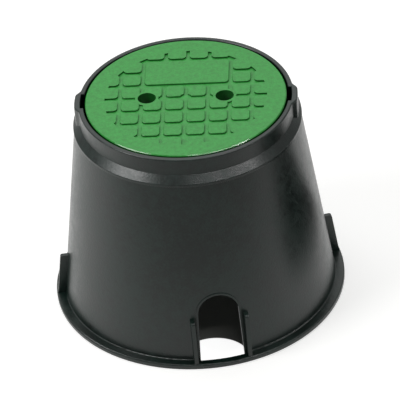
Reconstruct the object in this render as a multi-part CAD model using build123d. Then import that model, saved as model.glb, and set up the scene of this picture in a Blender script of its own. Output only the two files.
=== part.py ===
from build123d import *
import math
import os

os.makedirs("parts", exist_ok=True)

# Round irrigation valve box: a conical body and a twist-lock lid, both plastic mouldings.
# Frame: millimetres, Z up, base on Z = 0, axis on the origin, front pipe notch towards -Y.

# Body outside
HEIGHT = 254.0
NECK_R = 119.4
NECK_T = 5.4
NECK_H = 19.6
SHOULDER_W = 7.9
SHOULDER_H = 8.2
STEP_W = 0.9
STEP_H = 3.0
CONE_SPREAD = 28.0
WALL_T = 4.0
FLANGE_W = 10.6
FLANGE_T = 6.0
FLANGE_ROUND = 1.6
EDGE_ROUND = 1.2
RIM_ROUND = 1.6
STEP_ROUND = 0.4

# Lug race, channels, stops and seat inside the neck
SEAT_DEPTH = 32.0
SEAT_W = 7.5
SEAT_T = 4.0
RACE_DEPTH = 4.8
RACE_H = 6.5
CHANNEL_DEPTH = 3.5
CHANNEL_HALF_WIDTH = 13.4
STOP_WIDTH = 5.0
EAR_ANGLE = -11.0
EAR_WALL_T = 6.5
EAR_HALF_WIDTH = 13.0
EAR_SPREAD = 7.2
EAR_ROUND = 8.0

# Pipe notches, their fins and the flank ribs
NOTCH_TURNS = (0.0, 180.0)
NOTCH_FOOT_HALF_WIDTH = 25.0
NOTCH_TAPER = 2.2
NOTCH_TOP_Z = 85.4
SILL_W = 8.5
BORDER_W = 2.4
BORDER_PROUD = 0.9
FIN_GAP = 3.0
FIN_T = 4.5
FIN_INSET = 1.5
FIN_TOP_Z = 57.5
FIN_CORNER_ROUND = 2.8
FLANK_RIB_TURNS = (93.2, -93.2)

# Lid
LID_GAP = 2.3
LID_PROUD = 0.5
PLATE_T = 4.5
BEVEL_W = 0.9
BEVEL_H = 0.9
SKIRT_T = 3.0
SEAT_CLEARANCE = 0.3
LUG_H = 5.0
LUG_TIP_CLEARANCE = 0.8
LUG_SIDE_CLEARANCE = 1.2
LUG_PLAY = 0.6
LUG_SWING = 35.0
RIB_COUNT = 12
RIB_T = 2.5
RIB_H = 14.0
RING_R = 66.0
HUB_R = 14.0

# Lid face
PITCH = 24.5
STREET_W = 4.2
PAD_ROUND = 5.0
PAD_EDGE = 0.5
TREAD_DEPTH = 2.0
TREAD_BORDER_W = 21.5
PANEL_COLUMNS = (-2, 2)
PANEL_ROWS = (1, 3)
GATE_R = 6.5
HOLE_R = 10.2
HOLE_X = 43.2
HOLE_RING_W = 3.0
HOLE_TUBE_T = 2.5
HOLE_TUBE_H = 12.0

# Heights and radii of the body, from the top down and from the neck out
NECK_FOOT_Z = HEIGHT - NECK_H
SHOULDER_Z = NECK_FOOT_Z - SHOULDER_H
CONE_TOP_Z = SHOULDER_Z - STEP_H
NECK_INNER_R = NECK_R - NECK_T
SHOULDER_R = NECK_R + SHOULDER_W
CONE_TOP_R = SHOULDER_R - STEP_W
CONE_BASE_R = CONE_TOP_R + CONE_SPREAD
FLANGE_R = CONE_BASE_R + FLANGE_W

# What the lid locks into
RACE_FLOOR_Z = HEIGHT - SEAT_DEPTH
RACE_TOP_Z = RACE_FLOOR_Z + RACE_H
SEAT_LOW_Z = RACE_FLOOR_Z - SEAT_T
SEAT_INNER_R = NECK_INNER_R - SEAT_W
RACE_R = NECK_INNER_R + RACE_DEPTH
CHANNEL_R = NECK_INNER_R + CHANNEL_DEPTH
EAR_R = CHANNEL_R + EAR_WALL_T
EAR_FOOT_HALF_WIDTH = EAR_HALF_WIDTH + EAR_SPREAD

# Notch, fins and lid
NOTCH_ARCH_R = NOTCH_FOOT_HALF_WIDTH - NOTCH_TAPER
NOTCH_SPRING_Z = NOTCH_TOP_Z - NOTCH_ARCH_R
NOTCH_REACH_R = FLANGE_R - SILL_W
FIN_OFFSET = NOTCH_FOOT_HALF_WIDTH + FIN_GAP
FIN_PROUD = FLANGE_W - FIN_INSET
LID_R = NECK_INNER_R - LID_GAP
LID_TOP_Z = HEIGHT + LID_PROUD
PLATE_LOW_Z = LID_TOP_Z - PLATE_T
SKIRT_FOOT_Z = RACE_FLOOR_Z + SEAT_CLEARANCE
LUG_R = CHANNEL_R - LUG_TIP_CLEARANCE
LUG_HALF_WIDTH = CHANNEL_HALF_WIDTH - LUG_SIDE_CLEARANCE
TREAD_R = LID_R - TREAD_BORDER_W
HOLE_RING_R = HOLE_R + HOLE_RING_W


def cone_radius(z):
    # Outer radius of the conical wall at a height
    share = (z - FLANGE_T) / (CONE_TOP_Z - FLANGE_T)
    return CONE_BASE_R + (CONE_TOP_R - CONE_BASE_R) * share


def turned(points):
    # Solid of revolution from a closed profile of (radius, height, corner round)
    face = make_face(Polyline(*[(r, z) for r, z, _ in points], close=True))
    for r, z, corner_round in points:
        if corner_round:
            corner = face.vertices().sort_by_distance(Vertex(r, z, 0))[0]
            face = fillet(corner, corner_round)
    return revolve(Plane.XZ * face, Axis.Z)


def lower_body():
    # Flange, conical wall and flared shoulder, still solid to the axis
    return turned([
        (0, 0, 0),
        (FLANGE_R, 0, EDGE_ROUND),
        (FLANGE_R, FLANGE_T, FLANGE_ROUND),
        (CONE_BASE_R, FLANGE_T, EDGE_ROUND),
        (CONE_TOP_R, CONE_TOP_Z, 0),
        (SHOULDER_R, CONE_TOP_Z, STEP_ROUND),
        (SHOULDER_R, SHOULDER_Z, EDGE_ROUND),
        (NECK_R, NECK_FOOT_Z, 0),
        (0, NECK_FOOT_Z, 0),
    ])


def neck_outline():
    # Plan of the neck: a circle with two blended ears, one over each lug channel
    outline = Circle(NECK_R)
    for turn in (0, 180):
        ear = Circle(EAR_R) & Rectangle(2 * EAR_R, 2 * EAR_HALF_WIDTH)
        ear -= Pos(-EAR_R, 0) * Rectangle(2 * EAR_R, 4 * EAR_R)
        root_x = math.sqrt(NECK_R**2 - EAR_FOOT_HALF_WIDTH**2)
        tip_x = math.sqrt(EAR_R**2 - EAR_HALF_WIDTH**2)
        ramp = make_face(Polyline(
            (NECK_R / 2, -EAR_FOOT_HALF_WIDTH),
            (root_x, -EAR_FOOT_HALF_WIDTH),
            (tip_x, -EAR_HALF_WIDTH),
            (tip_x, EAR_HALF_WIDTH),
            (root_x, EAR_FOOT_HALF_WIDTH),
            (NECK_R / 2, EAR_FOOT_HALF_WIDTH),
            close=True,
        ))
        outline += Rot(0, 0, EAR_ANGLE + turn) * (ear + ramp)
    corners = [v for v in outline.vertices() if abs(Vector(v).length - NECK_R) < 0.3]
    corners += [v for v in outline.vertices() if abs(Vector(v).length - EAR_R) < 0.3]
    return fillet(corners, EAR_ROUND)


def neck():
    # Straight neck with its ears, standing in the shoulder, top edge rounded
    block = extrude(Pos(0, 0, SHOULDER_Z) * neck_outline(), HEIGHT - SHOULDER_Z)
    rim = block.edges().group_by(Axis.Z)[-1]
    return fillet(rim, RIM_ROUND)


def room():
    # Conical room inside the wall, closing in to the seat opening
    slope = RACE_R - SEAT_INNER_R
    return turned([
        (0, -1, 0),
        (cone_radius(-1) - WALL_T, -1, 0),
        (cone_radius(SEAT_LOW_Z - slope) - WALL_T, SEAT_LOW_Z - slope, 0),
        (SEAT_INNER_R, SEAT_LOW_Z, 0),
        (SEAT_INNER_R, RACE_FLOOR_Z + 1, 0),
        (0, RACE_FLOOR_Z + 1, 0),
    ])


def stop_angles():
    # One stop behind the locked lug and one past the channel, for each of the two lugs
    lug_half = math.degrees(math.asin(LUG_HALF_WIDTH / NECK_INNER_R))
    stop_half = math.degrees(math.asin(STOP_WIDTH / 2 / NECK_INNER_R))
    reach = lug_half + stop_half + math.degrees(LUG_PLAY / NECK_INNER_R)
    angles = []
    for turn in (0, 180):
        angles.append(EAR_ANGLE + turn + reach)
        angles.append(EAR_ANGLE + turn - LUG_SWING - reach)
    return angles


def race():
    # Ring-shaped space under the neck in which the lugs swing, less its stops
    plan = Circle(RACE_R)
    length = RACE_R + 1 - NECK_INNER_R
    for angle in stop_angles():
        plan -= Rot(0, 0, angle) * Pos(NECK_INNER_R + length / 2, 0) * Rectangle(length, STOP_WIDTH)
    return extrude(Pos(0, 0, RACE_FLOOR_Z) * plan, RACE_H)


def mouth():
    # Round mouth with a channel on each side that lets a lug drop to the race
    plan = Circle(NECK_INNER_R)
    for turn in (0, 180):
        passage = Circle(CHANNEL_R) & Pos(CHANNEL_R, 0) * Rectangle(CHANNEL_R, 2 * CHANNEL_HALF_WIDTH)
        plan += Rot(0, 0, EAR_ANGLE + turn) * passage
    return extrude(Pos(0, 0, RACE_TOP_Z - 1) * plan, HEIGHT + 2 - RACE_TOP_Z)


def notch_face(grow=0.0):
    # Arched pipe opening seen from the front, in (x, z), sides opening towards the foot
    arch_r = NOTCH_ARCH_R + grow
    foot = NOTCH_FOOT_HALF_WIDTH + grow
    low = -1.0
    outline = Polyline((-arch_r, NOTCH_SPRING_Z), (-foot, low), (foot, low), (arch_r, NOTCH_SPRING_Z))
    arch = ThreePointArc((arch_r, NOTCH_SPRING_Z), (0, NOTCH_SPRING_Z + arch_r), (-arch_r, NOTCH_SPRING_Z))
    return make_face([outline, arch])


def notch_prism(grow, reach):
    # The opening carried out from the axis towards -Y as far as a radius
    block = extrude(Plane.XZ * notch_face(grow), reach + 10)
    limit = Cylinder(reach, 2 * HEIGHT, align=(Align.CENTER, Align.CENTER, Align.CENTER))
    return block & limit


def notch_border():
    # Raised band round the arch, standing proud of the conical wall
    top = NOTCH_TOP_Z + 3 * BORDER_W
    band = turned([
        (cone_radius(1) - WALL_T / 2, 1, 0),
        (cone_radius(1) + BORDER_PROUD, 1, 0),
        (cone_radius(top) + BORDER_PROUD, top, 0),
        (cone_radius(top) - WALL_T / 2, top, 0),
    ])
    return band & notch_prism(BORDER_W, FLANGE_R)


def fin_plate(offset):
    # Upright plate along -Y at a sideways offset, outer edge parallel to the wall
    def outer(z):
        return -math.sqrt(cone_radius(z)**2 - offset**2) - FIN_PROUD
    face = make_face(Polyline(
        (outer(0) + 2 * FIN_PROUD, 1),
        (outer(1), 1),
        (outer(FIN_TOP_Z), FIN_TOP_Z),
        (outer(0) + 2 * FIN_PROUD, FIN_TOP_Z),
        close=True,
    ))
    corner = face.vertices().sort_by_distance(Vertex(outer(FIN_TOP_Z), FIN_TOP_Z, 0))[0]
    face = fillet(corner, FIN_CORNER_ROUND)
    plate = extrude(Plane.YZ * face, FIN_T / 2, both=True)
    return Pos(offset, 0, 0) * plate


def body():
    # One moulding: outside first, then the hollow and the notches
    solid = lower_body() + neck()
    for turn in NOTCH_TURNS:
        solid += notch_border().rotate(Axis.Z, turn)
        for side in (-1, 1):
            solid += fin_plate(side * (FIN_OFFSET + FIN_T / 2)).rotate(Axis.Z, turn)
    for turn in FLANK_RIB_TURNS:
        solid += fin_plate(0).rotate(Axis.Z, turn)
    solid -= room()
    solid -= race()
    solid -= mouth()
    for turn in NOTCH_TURNS:
        solid -= notch_prism(0, NOTCH_REACH_R).rotate(Axis.Z, turn)
    rim = solid.faces().filter_by(Axis.Z).sort_by(Axis.Z)[-1]
    return chamfer(rim.inner_wires()[0].edges(), EDGE_ROUND / 2)


def pad(column, row):
    # One raised tread pad between streets
    size = PITCH - STREET_W
    return Pos((column + 0.5) * PITCH, (row + 0.5) * PITCH) * RectangleRounded(size, size, PAD_ROUND)


def panel():
    # Blank name panel that takes the place of a block of pads
    width = (PANEL_COLUMNS[1] - PANEL_COLUMNS[0]) * PITCH - STREET_W
    depth = (PANEL_ROWS[1] - PANEL_ROWS[0]) * PITCH - STREET_W
    x = (PANEL_COLUMNS[0] + PANEL_COLUMNS[1]) / 2 * PITCH
    y = (PANEL_ROWS[0] + PANEL_ROWS[1]) / 2 * PITCH
    return Pos(x, y) * RectangleRounded(width, depth, PAD_ROUND)


def in_panel(column, row):
    return PANEL_COLUMNS[0] <= column < PANEL_COLUMNS[1] and PANEL_ROWS[0] <= row < PANEL_ROWS[1]


def streets():
    # Plan of the recessed streets inside the plain border
    reach = math.ceil(TREAD_R / PITCH)
    pads = [panel()]
    for column in range(-reach, reach):
        for row in range(-reach, reach):
            if not in_panel(column, row):
                pads.append(pad(column, row))
    plan = Circle(TREAD_R) - pads
    plan += Circle(GATE_R)
    for side in (-1, 1):
        plan -= Pos(side * HOLE_X, 0) * Circle(HOLE_RING_R)
    return plan


def lid_shell():
    # Plate and skirt with the bevelled edge
    return turned([
        (0, PLATE_LOW_Z, 0),
        (LID_R - SKIRT_T, PLATE_LOW_Z, 0),
        (LID_R - SKIRT_T, SKIRT_FOOT_Z, 0),
        (LID_R, SKIRT_FOOT_Z, 0),
        (LID_R, LID_TOP_Z - BEVEL_H, 0),
        (LID_R - BEVEL_W, LID_TOP_Z, STEP_ROUND),
        (0, LID_TOP_Z, 0),
    ])


def lug(angle):
    # Bayonet lug standing out from the foot of the skirt
    plan = Circle(LUG_R) & Pos(LUG_R, 0) * Rectangle(2 * (LUG_R - LID_R + SKIRT_T / 2), 2 * LUG_HALF_WIDTH)
    return extrude(Pos(0, 0, SKIRT_FOOT_Z) * plan, LUG_H).rotate(Axis.Z, angle)


def lid_ribs():
    # Radial ribs, a ring and a hub that stiffen the plate from below
    low = PLATE_LOW_Z - RIB_H
    ribs = extrude(Pos(0, 0, low) * (Circle(HUB_R) - Circle(HUB_R - RIB_T)), RIB_H)
    ribs += extrude(Pos(0, 0, low) * (Circle(RING_R) - Circle(RING_R - RIB_T)), RIB_H)
    length = LID_R - SKIRT_T / 2 - HUB_R + RIB_T / 2
    bar = Box(length, RIB_T, RIB_H, align=(Align.MIN, Align.CENTER, Align.MIN))
    for i in range(RIB_COUNT):
        turn = 360 / RIB_COUNT * (i + 0.5)
        ribs += (Pos(HUB_R - RIB_T / 2, 0, low) * bar).rotate(Axis.Z, turn)
    return ribs


def free_pad_edges(solid):
    # Top edges of the pads and the panel that stand clear of the plain border
    tops = solid.faces().filter_by(Axis.Z).group_by(Axis.Z)[-1]
    edges = []
    for top in tops:
        if max(math.hypot(v.X, v.Y) for v in top.vertices()) < TREAD_R - PAD_EDGE:
            edges += top.outer_wire().edges()
    return edges


def lid():
    # One moulding, drawn with its holes on X, then turned to stand between the ears
    solid = lid_shell() + lid_ribs()
    for side in (-1, 1):
        tube = Circle(HOLE_R + HOLE_TUBE_T)
        solid += extrude(Pos(side * HOLE_X, 0, PLATE_LOW_Z - HOLE_TUBE_H) * tube, HOLE_TUBE_H)
    for turn in (0, 180):
        solid += lug(turn - LUG_SWING)
    solid -= extrude(Pos(0, 0, LID_TOP_Z - TREAD_DEPTH) * streets(), TREAD_DEPTH + 1)
    solid = chamfer(free_pad_edges(solid), PAD_EDGE)
    for side in (-1, 1):
        hole = Circle(HOLE_R)
        solid -= extrude(Pos(side * HOLE_X, 0, PLATE_LOW_Z - RIB_H - 1) * hole, PLATE_T + RIB_H + 2)
    return solid.rotate(Axis.Z, EAR_ANGLE)


export_step(body(), "parts/body.step")
export_step(lid(), "parts/lid.step")
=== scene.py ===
import bpy
import math
from mathutils import Matrix, Quaternion, Vector


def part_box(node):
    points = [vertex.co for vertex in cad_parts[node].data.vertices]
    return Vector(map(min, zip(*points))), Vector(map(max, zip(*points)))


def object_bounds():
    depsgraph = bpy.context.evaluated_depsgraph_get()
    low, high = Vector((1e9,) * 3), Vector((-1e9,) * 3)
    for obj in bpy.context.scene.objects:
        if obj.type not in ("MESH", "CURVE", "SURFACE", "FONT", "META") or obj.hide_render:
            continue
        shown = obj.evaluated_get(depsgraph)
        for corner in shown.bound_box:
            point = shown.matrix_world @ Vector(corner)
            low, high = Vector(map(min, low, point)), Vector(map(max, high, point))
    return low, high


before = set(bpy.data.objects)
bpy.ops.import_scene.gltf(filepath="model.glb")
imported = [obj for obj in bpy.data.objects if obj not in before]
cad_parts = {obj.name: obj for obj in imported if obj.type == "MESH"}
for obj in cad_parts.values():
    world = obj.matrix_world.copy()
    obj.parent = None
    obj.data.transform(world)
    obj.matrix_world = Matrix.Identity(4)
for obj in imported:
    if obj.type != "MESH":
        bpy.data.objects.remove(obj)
cad_low, cad_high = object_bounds()

# Camera
# A long lens a good four metres away, looking down on the box from a little to the left
# of its front pipe notch, and tilted so that the right-hand side of the picture rises.
MM = 0.001
VIEW_AZIMUTH = math.radians(-6.5)
VIEW_ELEVATION = math.radians(36.1)
VIEW_DISTANCE = 4194.9 * MM
VIEW_ROLL = math.radians(4.74)
LENS_MM = 335.4
SENSOR_MM = 36
AIM_RIGHT = 7.5 * MM
AIM_UP = -11.9 * MM
box_height = cad_high.z - cad_low.z
box_middle = Vector((0, 0, box_height / 2))


def seen_from(azimuth, elevation):
    # Unit vector towards a place in the studio, azimuth counted from the front, left negative
    flat = math.cos(elevation)
    return Vector((math.sin(azimuth) * flat, -math.cos(azimuth) * flat, math.sin(elevation)))


towards_camera = seen_from(VIEW_AZIMUTH, VIEW_ELEVATION)
level_right = Vector((0, 0, 1)).cross(towards_camera).normalized()
level_up = towards_camera.cross(level_right)
view_right = level_right * math.cos(VIEW_ROLL) - level_up * math.sin(VIEW_ROLL)
view_up = level_up * math.cos(VIEW_ROLL) + level_right * math.sin(VIEW_ROLL)
camera_place = box_middle + towards_camera * VIEW_DISTANCE
aim = box_middle + view_right * AIM_RIGHT + view_up * AIM_UP
back = (camera_place - aim).normalized()
side = view_up.cross(back).normalized()
turned_to = Matrix((side, back.cross(side), back)).transposed().to_4x4()
camera = bpy.data.objects.new("camera", bpy.data.cameras.new("camera"))
bpy.context.scene.collection.objects.link(camera)
camera.data.lens = LENS_MM
camera.data.sensor_width = SENSOR_MM
camera.matrix_world = Matrix.Translation(camera_place) @ turned_to
bpy.context.scene.camera = camera
bpy.context.scene.view_settings.view_transform = "Standard"


# Body moulding
# The conical box with its flange, fins and neck is one injection moulding in black
# high-density polyethylene. It comes out of a blasted steel mould.
POLYETHYLENE_IOR = 1.5
BODY_WAVE_MM = 42
BODY_CLOUD_MM = 60
BODY_MOTTLE_MM = 9
BODY_GRAIN_MM = 2.4
BODY_WAVE_HEIGHT = 0.6 * MM
BODY_GRAIN_HEIGHT = 0.15 * MM
BODY_ROUGHNESS = (0.28, 0.36)


def linear(hex_colour):
    # sRGB hex colour as the linear colour that a shader takes
    parts = [int(hex_colour[i:i + 2], 16) / 255 for i in (1, 3, 5)]
    return [p / 12.92 if p <= 0.04045 else ((p + 0.055) / 1.055) ** 2.4 for p in parts] + [1]


def add_node(tree, kind, settings=None, links=None):
    # Adds one node: settings are its own properties, or inputs where the name is a socket's
    node = tree.nodes.new(kind)
    for name, value in (settings or {}).items():
        if hasattr(node, name):
            setattr(node, name, value)
        else:
            node.inputs[name].default_value = value
    for name, source in (links or {}).items():
        tree.links.new(source, node.inputs[name])
    return node


def calculate(tree, operation, first, second):
    # Math node on two values, each a float or another node's output
    node = add_node(tree, "ShaderNodeMath", {"operation": operation})
    for socket, value in zip(node.inputs, (first, second)):
        if isinstance(value, float):
            socket.default_value = value
        else:
            tree.links.new(value, socket)
    return node.outputs["Value"]


def ramp(tree, value, zero_at, one_at):
    # 0 to 1 between two values
    span = {"From Min": zero_at, "From Max": one_at}
    return add_node(tree, "ShaderNodeMapRange", span, {"Value": value}).outputs["Result"]


def between(tree, value, limits):
    # From the first limit to the second while a value goes from 0 to 1
    span = {"To Min": limits[0], "To Max": limits[1]}
    return add_node(tree, "ShaderNodeMapRange", span, {"Value": value}).outputs["Result"]


def noise(tree, place, size_mm, detail):
    # Soft random pattern with features of a size in millimetres
    settings = {"Scale": 1 / (size_mm * MM), "Detail": detail}
    return add_node(tree, "ShaderNodeTexNoise", settings, {"Vector": place}).outputs["Fac"]


def two_tones(tree, factor, low_colour, high_colour):
    # Colour between two sRGB hex colours
    node = add_node(tree, "ShaderNodeMix", {"data_type": "RGBA"}, {"Factor": factor})
    node.inputs["A"].default_value = linear(low_colour)
    node.inputs["B"].default_value = linear(high_colour)
    return node.outputs["Result"]


def new_material(name):
    material = bpy.data.materials.new(name)
    material.use_nodes = True
    material.node_tree.nodes.clear()
    return material, material.node_tree


def finish_material(tree, settings, links):
    # Principled surface as the material's output
    shader = add_node(tree, "ShaderNodeBsdfPrincipled", settings, links)
    add_node(tree, "ShaderNodeOutputMaterial", links={"Surface": shader.outputs["BSDF"]})


def black_polyethylene():
    # High-density polyethylene from a blasted mould: deep black and soft semi-gloss. The slow
    # waves that shrinkage leaves break up long reflections, and a faint mottle with a fine
    # grain keeps the wide wall from looking flat.
    material, tree = new_material("black_moulded_polyethylene")
    place = add_node(tree, "ShaderNodeTexCoord").outputs["Object"]
    cloud = noise(tree, place, BODY_CLOUD_MM, 3)
    speck = noise(tree, place, BODY_GRAIN_MM, 3)
    wave = noise(tree, place, BODY_WAVE_MM, 1)
    mottle = noise(tree, place, BODY_MOTTLE_MM, 3)
    total = calculate(tree, "ADD", calculate(tree, "ADD", mottle, cloud), speck)
    bloom = ramp(tree, total, 1.3, 1.7)
    colour = two_tones(tree, bloom, "#03100c", "#0d1f1a")
    rough = between(tree, bloom, BODY_ROUGHNESS)
    waves = add_node(tree, "ShaderNodeBump", {"Strength": 0.3, "Distance": BODY_WAVE_HEIGHT},
                     {"Height": wave})
    grain = add_node(tree, "ShaderNodeBump", {"Strength": 1.0, "Distance": BODY_GRAIN_HEIGHT},
                     {"Height": speck, "Normal": waves.outputs["Normal"]})
    finish_material(tree, {"IOR": POLYETHYLENE_IOR, "Metallic": 0.0},
                    {"Base Color": colour, "Roughness": rough, "Normal": grain.outputs["Normal"]})
    return material


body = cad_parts["body"]
for slot in body.material_slots:
    slot.material = black_polyethylene()


# Lid moulding
# The round twist-lock lid is one injection moulding in green polyethylene, with a raised
# block tread, a bare panel and two finger holes. It stands locked in the neck.
LID_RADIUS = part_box("lid")[1].x
LID_CLOUD_MM = 5
LID_GRAIN_MM = 2
LID_GRAIN_HEIGHT = 0.12 * MM
LID_ROUGHNESS = (0.36, 0.52)
ARRIS_START = LID_RADIUS - 1.1 * MM
ARRIS_END = LID_RADIUS - 0.8 * MM
ARRIS_ROUGHNESS = 0.1
# Levelness limits for the painted shade on the upright walls
FACE_LEVEL = 0.36
FACE_UPRIGHT = 0.04


def green_polyethylene():
    # The same polyethylene, coloured through with a mid green pigment: satin, nearly even,
    # with the finest grain on the pads. The upright walls of the streets and holes are painted
    # a deeper green, as painted shade, so that the tread shows as dark lines. The bevelled arris
    # comes off polished steel, so it is glossy and catches the lamps as a thin bright line.
    material, tree = new_material("green_moulded_polyethylene")
    coordinates = add_node(tree, "ShaderNodeTexCoord")
    place = coordinates.outputs["Object"]
    facing = add_node(tree, "ShaderNodeSeparateXYZ", links={"Vector": coordinates.outputs["Normal"]})
    levelness = calculate(tree, "MULTIPLY", facing.outputs["Z"], facing.outputs["Z"])
    painted_wall_shade = ramp(tree, levelness, FACE_LEVEL, FACE_UPRIGHT)
    cloud = noise(tree, place, LID_CLOUD_MM, 3)
    speck = noise(tree, place, LID_GRAIN_MM, 3)
    total = calculate(tree, "ADD", cloud, speck)
    pigment = two_tones(tree, ramp(tree, total, 0.7, 1.3), "#1f7928", "#2d943a")
    # Painted shade: the upright walls of the streets and holes take the deeper green #10561a
    colour = add_node(tree, "ShaderNodeMix", {"data_type": "RGBA"}, {"Factor": painted_wall_shade, "A": pigment})
    colour.inputs["B"].default_value = linear("#10561a")
    satin = between(tree, calculate(tree, "MULTIPLY", total, 0.5), LID_ROUGHNESS)
    flat_place = add_node(tree, "ShaderNodeVectorMath", {"operation": "MULTIPLY"})
    tree.links.new(place, flat_place.inputs[0])
    flat_place.inputs[1].default_value = (1, 1, 0)
    from_axis = add_node(tree, "ShaderNodeVectorMath", {"operation": "LENGTH"},
                         {"Vector": flat_place.outputs["Vector"]})
    arris = ramp(tree, from_axis.outputs["Value"], ARRIS_START, ARRIS_END)
    rough = add_node(tree, "ShaderNodeMix", {"B": ARRIS_ROUGHNESS}, {"Factor": arris, "A": satin})
    grain = add_node(tree, "ShaderNodeBump", {"Strength": 0.8, "Distance": LID_GRAIN_HEIGHT},
                     {"Height": speck})
    finish_material(tree, {"IOR": POLYETHYLENE_IOR, "Metallic": 0.0},
                    {"Base Color": colour.outputs["Result"], "Roughness": rough.outputs["Result"],
                     "Normal": grain.outputs["Normal"]})
    return material


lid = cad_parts["lid"]
for slot in lid.material_slots:
    slot.material = green_polyethylene()


# Studio floor
# A wide pale floor. The camera sees it as plain white with the box's own soft shadow.
FLOOR_REACH = 6.0
BASE_RADIUS = cad_high.x
GLOW_START = BASE_RADIUS - 12 * MM
GLOW_END = BASE_RADIUS - 2 * MM
FLOOR_GLOW = 0.5
PAINTED_POOL_GLOW = 0.9
INNER_GLOW = 0.003
SHEEN_GLOW = 0.55
SHEEN_NEAR = 120 * MM
SHEEN_FAR = 450 * MM
# Painted pool of light: a round patch of floor behind the front notch, pale and glowing
PATCH_X = -10.0 * MM
PATCH_Y = -151.4 * MM
PATCH_R = 41.3 * MM
PATCH_EDGE = 1.0 * MM
MATT = {"Roughness": 0.9, "Specular IOR Level": 0.1}


def pale_floor():
    # Matt pale board. Outside the box's foot it glows a little for the camera alone, so that
    # the ground reaches white and its shadow stays. Inside the foot it is painted a darker grey,
    # as painted shade. A round patch behind the front notch is painted pale and glows for the
    # camera: a painted pool of light. For glossy rays alone the board glows as well, white near
    # the box and darker towards the camera: a painted reflection in the box's gloss.
    material, tree = new_material("matt_pale_board")
    place = add_node(tree, "ShaderNodeTexCoord").outputs["Object"]
    from_axis = add_node(tree, "ShaderNodeVectorMath", {"operation": "LENGTH"}, {"Vector": place})
    from_patch = add_node(tree, "ShaderNodeVectorMath", {"operation": "DISTANCE"})
    tree.links.new(place, from_patch.inputs[0])
    from_patch.inputs[1].default_value = (PATCH_X, PATCH_Y, 0)
    forward = add_node(tree, "ShaderNodeVectorMath", {"operation": "DOT_PRODUCT"})
    tree.links.new(place, forward.inputs[0])
    forward.inputs[1].default_value = seen_from(VIEW_AZIMUTH, 0)
    outside = ramp(tree, from_axis.outputs["Value"], GLOW_START, GLOW_END)
    painted_pool = ramp(tree, from_patch.outputs["Value"], PATCH_R, PATCH_R - PATCH_EDGE)
    near = ramp(tree, forward.outputs["Value"], SHEEN_FAR, SHEEN_NEAR)
    ray = add_node(tree, "ShaderNodeLightPath")
    # Painted shade: the board is darker inside the box's foot, except in the painted pool of light
    pale_or_painted_pool = calculate(tree, "MAXIMUM", outside, painted_pool)
    open_glow = calculate(tree, "MULTIPLY", outside, FLOOR_GLOW)
    # Painted pool of light: the round patch glows for the camera alone
    painted_pool_glow = calculate(tree, "MULTIPLY", calculate(tree, "SUBTRACT", pale_or_painted_pool, outside), PAINTED_POOL_GLOW)
    glow = calculate(tree, "ADD", calculate(tree, "ADD", open_glow, painted_pool_glow), INNER_GLOW)
    seen = calculate(tree, "MULTIPLY", glow, ray.outputs["Is Camera Ray"])
    # Painted reflection: for glossy rays alone the board glows, strongest near the box
    near_painted_reflection = calculate(tree, "MULTIPLY", near, SHEEN_GLOW)
    painted_reflection = calculate(tree, "MULTIPLY", near_painted_reflection, ray.outputs["Is Glossy Ray"])
    finish_material(tree, {**MATT, "Emission Color": linear("#ffffff")},
                    {"Base Color": two_tones(tree, pale_or_painted_pool, "#8a8a86", "#d6d6d4"),
                     "Emission Strength": calculate(tree, "ADD", seen, painted_reflection)})
    return material


def flat_board(name, middle, width, depth, material):
    # Level rectangle turned to face the camera's side
    across = seen_from(VIEW_AZIMUTH + math.pi / 2, 0) * (width / 2)
    along = seen_from(VIEW_AZIMUTH, 0) * (depth / 2)
    corners = [middle - across - along, middle + across - along,
               middle + across + along, middle - across + along]
    mesh = bpy.data.meshes.new(name)
    mesh.from_pydata([tuple(corner) for corner in corners], [], [(0, 1, 2, 3)])
    mesh.materials.append(material)
    board = bpy.data.objects.new(name, mesh)
    bpy.context.scene.collection.objects.link(board)
    return board


flat_board("floor", Vector((0, 0, 0)), 2 * FLOOR_REACH, 2 * FLOOR_REACH, pale_floor())

# Black card
# A matt black card lies on the floor at the right, out of the camera's sight. It is seen
# only in the box's gloss and casts no shadow: a painted dark reflection, the dark band down
# that side of the box.
CARD_RIGHT = 455 * MM
CARD_NEAR = 10 * MM
CARD_LIFT = 3 * MM
CARD_WIDTH = 410 * MM
CARD_DEPTH = 270 * MM


def black_paper():
    # Matt black paper: hardly any light comes back from it
    material, tree = new_material("matt_black_paper")
    finish_material(tree, {**MATT, "Base Color": linear("#121212")}, {})
    return material


card_across = seen_from(VIEW_AZIMUTH + math.pi / 2, 0) * CARD_RIGHT
card_middle = card_across + seen_from(VIEW_AZIMUTH, 0) * CARD_NEAR
card_middle.z = CARD_LIFT
card = flat_board("black_card", card_middle, CARD_WIDTH, CARD_DEPTH, black_paper())
# Painted dark reflection: the card is seen only in the box's gloss
card.visible_camera = False
card.visible_diffuse = False
card.visible_shadow = False


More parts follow.
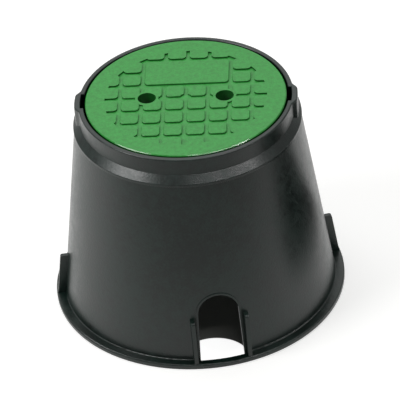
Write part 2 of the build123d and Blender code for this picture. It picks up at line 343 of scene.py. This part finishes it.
# Studio lamps
# A long softbox behind the box gives the rim and the lid their sheen, and one overhead
# adds even light. A softbox at the left draws the bright patch on the shoulder. A bow of
# short strip lamps, front to right, draws the thin bright line along the lid's arris.
# Angles are in degrees and sizes in metres.
SOFTBOXES = (  # name, azimuth, elevation, distance, width, height, brightness
    ("back_softbox", 195, 42, 2.5, 3.4, 1.7, 0.9),
    ("overhead_softbox", 180, 80, 1.9, 1.6, 1.1, 2.7),
    ("left_softbox", -71, 41, 2.2, 1.05, 0.8, 8.8),
)
STRIP_LAMPS = (  # azimuth, elevation, tilt, brightness
    (12, 53.8, -4.9, 25),
    (37, 51, -14.8, 30),
    (64, 44.8, -23.5, 58),
)
STRIP_DISTANCE = 2.4
STRIP_LENGTH = 0.66
STRIP_WIDTH = 0.05


def softbox(name, azimuth, elevation, distance, width, height, brightness, tilt=0.0):
    # Area lamp at a place counted from the camera's side, facing the box, with its long side
    # level or tilted. Its brightness is what a mirror would show, with a white board in plain
    # light as 1.
    lamp = bpy.data.lights.new(name, "AREA")
    lamp.shape = "RECTANGLE"
    lamp.size = width
    lamp.size_y = height
    lamp.energy = math.pi * width * height * brightness
    holder = bpy.data.objects.new(name, lamp)
    bpy.context.scene.collection.objects.link(holder)
    direction = seen_from(VIEW_AZIMUTH + math.radians(azimuth), math.radians(elevation))
    holder.location = box_middle + direction * distance
    spin = Quaternion((0, 0, 1), math.radians(tilt))
    holder.rotation_euler = (direction.to_track_quat("Z", "Y") @ spin).to_euler()


for box_lamp in SOFTBOXES:
    softbox(*box_lamp)
for number, (azimuth, elevation, tilt, brightness) in enumerate(STRIP_LAMPS):
    softbox(f"strip_lamp_{number}", azimuth, elevation, STRIP_DISTANCE,
            STRIP_LENGTH, STRIP_WIDTH, brightness, tilt)

# Surroundings
# Grey studio walls. They are pale in the box's gloss and lend little light themselves. The
# camera alone sees them white, like the floor.
WALL_LIGHT = 0.1
WALL_SHEEN = 0.45
world = bpy.data.worlds.new("studio_walls")
bpy.context.scene.world = world
world.use_nodes = True
sky = world.node_tree
sky.nodes.clear()
sky_ray = add_node(sky, "ShaderNodeLightPath")
in_gloss = calculate(sky, "MULTIPLY", sky_ray.outputs["Is Glossy Ray"], WALL_SHEEN - WALL_LIGHT)
to_camera = calculate(sky, "MULTIPLY", sky_ray.outputs["Is Camera Ray"], 1.0 - WALL_LIGHT)
wall_level = calculate(sky, "ADD", calculate(sky, "ADD", in_gloss, to_camera), WALL_LIGHT)
walls = add_node(sky, "ShaderNodeBackground", {"Color": linear("#ffffff")}, {"Strength": wall_level})
add_node(sky, "ShaderNodeOutputWorld", links={"Surface": walls.outputs["Background"]})
